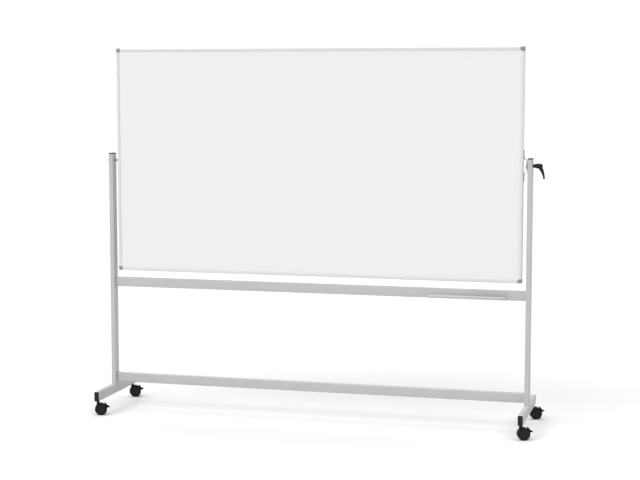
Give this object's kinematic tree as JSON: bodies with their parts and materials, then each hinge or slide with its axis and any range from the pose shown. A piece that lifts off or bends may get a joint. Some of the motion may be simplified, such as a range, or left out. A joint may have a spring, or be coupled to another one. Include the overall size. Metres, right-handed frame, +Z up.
{
  "type": "rolling whiteboard",
  "caption": "Revolving whiteboard on a wheeled stand: the framed board turns about a level axis between upright columns, is held by a clamping lever, and rolls on braked casters.",
  "frame": {"origin": "on the floor, midway between the columns and under the middle of their depth", "axes": "+X to the right of somebody who faces the board, -Y towards them, +Z up"},
  "size_m": [2.368, 0.5516, 1.9575],
  "materials": {
    "silver_paint": "satin powder coat",
    "satin_aluminium": "satin anodised",
    "white_enamel": "gloss enamel",
    "core_board": "raw board",
    "grey_plastic": "moulded, fine texture",
    "black_plastic": "moulded, fine texture",
    "zinc_steel": "zinc plated"
  },
  "bodies": {
    "stand": {"left_column": "silver_paint", "left_foot": "silver_paint", "left_column_cap": "black_plastic", "left_foot_front_cap": "black_plastic", "left_foot_rear_cap": "black_plastic", "upper_left_crossbar_bolt": "zinc_steel", "lower_left_crossbar_bolt": "zinc_steel", "left_foot_bolt": "zinc_steel", "right_column": "silver_paint", "right_foot": "silver_paint", "right_column_cap": "black_plastic", "right_foot_front_cap": "black_plastic", "right_foot_rear_cap": "black_plastic", "upper_right_crossbar_bolt": "zinc_steel", "lower_right_crossbar_bolt": "zinc_steel", "right_foot_bolt": "zinc_steel", "upper_crossbar": "silver_paint", "lower_crossbar": "silver_paint", "pen_tray": "silver_paint"},
    "board": {"front_writing_sheet": "white_enamel", "rear_writing_sheet": "white_enamel", "board_core": "core_board", "frame_top_rail": "satin_aluminium", "frame_bottom_rail": "satin_aluminium", "frame_left_rail": "satin_aluminium", "frame_right_rail": "satin_aluminium", "frame_top_left_corner": "grey_plastic", "frame_top_right_corner": "grey_plastic", "frame_bottom_left_corner": "grey_plastic", "frame_bottom_right_corner": "grey_plastic", "clamp_bracket": "zinc_steel", "bracket_screw_1": "zinc_steel", "bracket_screw_2": "zinc_steel", "bracket_screw_3": "zinc_steel", "bracket_screw_4": "zinc_steel", "clamp_spindle": "zinc_steel", "pivot_bolt": "zinc_steel", "friction_washer": "black_plastic", "pivot_insert": "zinc_steel"},
    "clamp_lever": {"clamp_lever": "black_plastic"},
    "front_left_caster": {"front_left_caster_hood": "black_plastic", "front_left_caster_axle": "zinc_steel"},
    "front_left_caster_front_wheel": {"front_left_caster_front_wheel": "black_plastic"},
    "front_left_caster_rear_wheel": {"front_left_caster_rear_wheel": "black_plastic"},
    "front_left_caster_brake": {"front_left_caster_brake": "black_plastic"},
    "front_right_caster": {"front_right_caster_hood": "black_plastic", "front_right_caster_axle": "zinc_steel"},
    "front_right_caster_front_wheel": {"front_right_caster_front_wheel": "black_plastic"},
    "front_right_caster_rear_wheel": {"front_right_caster_rear_wheel": "black_plastic"},
    "front_right_caster_brake": {"front_right_caster_brake": "black_plastic"},
    "rear_left_caster": {"rear_left_caster_hood": "black_plastic", "rear_left_caster_axle": "zinc_steel"},
    "rear_left_caster_front_wheel": {"rear_left_caster_front_wheel": "black_plastic"},
    "rear_left_caster_rear_wheel": {"rear_left_caster_rear_wheel": "black_plastic"},
    "rear_left_caster_brake": {"rear_left_caster_brake": "black_plastic"},
    "rear_right_caster": {"rear_right_caster_hood": "black_plastic", "rear_right_caster_axle": "zinc_steel"},
    "rear_right_caster_front_wheel": {"rear_right_caster_front_wheel": "black_plastic"},
    "rear_right_caster_rear_wheel": {"rear_right_caster_rear_wheel": "black_plastic"},
    "rear_right_caster_brake": {"rear_right_caster_brake": "black_plastic"}
  },
  "joints": [
    {"name": "board_turn", "type": "hinge", "parent": "stand", "child": "board", "pos_m": [0, 0, 1.3575], "axis": [1, 0, 0], "continuous": true},
    {"name": "clamp_lever_turn", "type": "hinge", "parent": "board", "child": "clamp_lever", "pos_m": [1.147, 0, 1.3575], "axis": [1, 0, 0], "range_deg": [0, 120]},
    {"name": "front_left_caster_swivel", "type": "hinge", "parent": "stand", "child": "front_left_caster", "pos_m": [-1.1345, -0.2478, 0.07], "axis": [0, 0, 1], "continuous": true},
    {"name": "front_left_caster_front_wheel_roll", "type": "hinge", "parent": "front_left_caster", "child": "front_left_caster_front_wheel", "pos_m": [-1.11966, -0.24181, 0.031], "axis": [-0.3746, 0.9272, 0], "continuous": true},
    {"name": "front_left_caster_rear_wheel_roll", "type": "hinge", "parent": "front_left_caster", "child": "front_left_caster_rear_wheel", "pos_m": [-1.11966, -0.24181, 0.031], "axis": [-0.3746, 0.9272, 0], "continuous": true},
    {"name": "front_left_caster_brake_press", "type": "hinge", "parent": "front_left_caster", "child": "front_left_caster_brake", "pos_m": [-1.11318, -0.23918, 0.051], "axis": [-0.3746, 0.9272, 0], "range_deg": [0, 10]},
    {"name": "front_right_caster_swivel", "type": "hinge", "parent": "stand", "child": "front_right_caster", "pos_m": [1.1345, -0.2478, 0.07], "axis": [0, 0, 1], "continuous": true},
    {"name": "front_right_caster_front_wheel_roll", "type": "hinge", "parent": "front_right_caster", "child": "front_right_caster_front_wheel", "pos_m": [1.14933, -0.24181, 0.031], "axis": [-0.3746, 0.9272, 0], "continuous": true},
    {"name": "front_right_caster_rear_wheel_roll", "type": "hinge", "parent": "front_right_caster", "child": "front_right_caster_rear_wheel", "pos_m": [1.14933, -0.24181, 0.031], "axis": [-0.3746, 0.9272, 0], "continuous": true},
    {"name": "front_right_caster_brake_press", "type": "hinge", "parent": "front_right_caster", "child": "front_right_caster_brake", "pos_m": [1.15583, -0.23918, 0.051], "axis": [-0.3746, 0.9272, 0], "range_deg": [0, 10]},
    {"name": "rear_left_caster_swivel", "type": "hinge", "parent": "stand", "child": "rear_left_caster", "pos_m": [-1.1345, 0.2478, 0.07], "axis": [0, 0, 1], "continuous": true},
    {"name": "rear_left_caster_front_wheel_roll", "type": "hinge", "parent": "rear_left_caster", "child": "rear_left_caster_front_wheel", "pos_m": [-1.11966, 0.25379, 0.031], "axis": [-0.3746, 0.9272, 0], "continuous": true},
    {"name": "rear_left_caster_rear_wheel_roll", "type": "hinge", "parent": "rear_left_caster", "child": "rear_left_caster_rear_wheel", "pos_m": [-1.11966, 0.25379, 0.031], "axis": [-0.3746, 0.9272, 0], "continuous": true},
    {"name": "rear_left_caster_brake_press", "type": "hinge", "parent": "rear_left_caster", "child": "rear_left_caster_brake", "pos_m": [-1.11318, 0.25642, 0.051], "axis": [-0.3746, 0.9272, 0], "range_deg": [0, 10]},
    {"name": "rear_right_caster_swivel", "type": "hinge", "parent": "stand", "child": "rear_right_caster", "pos_m": [1.1345, 0.2478, 0.07], "axis": [0, 0, 1], "continuous": true},
    {"name": "rear_right_caster_front_wheel_roll", "type": "hinge", "parent": "rear_right_caster", "child": "rear_right_caster_front_wheel", "pos_m": [1.14933, 0.25379, 0.031], "axis": [-0.3746, 0.9272, 0], "continuous": true},
    {"name": "rear_right_caster_rear_wheel_roll", "type": "hinge", "parent": "rear_right_caster", "child": "rear_right_caster_rear_wheel", "pos_m": [1.14933, 0.25379, 0.031], "axis": [-0.3746, 0.9272, 0], "continuous": true},
    {"name": "rear_right_caster_brake_press", "type": "hinge", "parent": "rear_right_caster", "child": "rear_right_caster_brake", "pos_m": [1.15583, 0.25642, 0.051], "axis": [-0.3746, 0.9272, 0], "range_deg": [0, 10]}
  ]
}
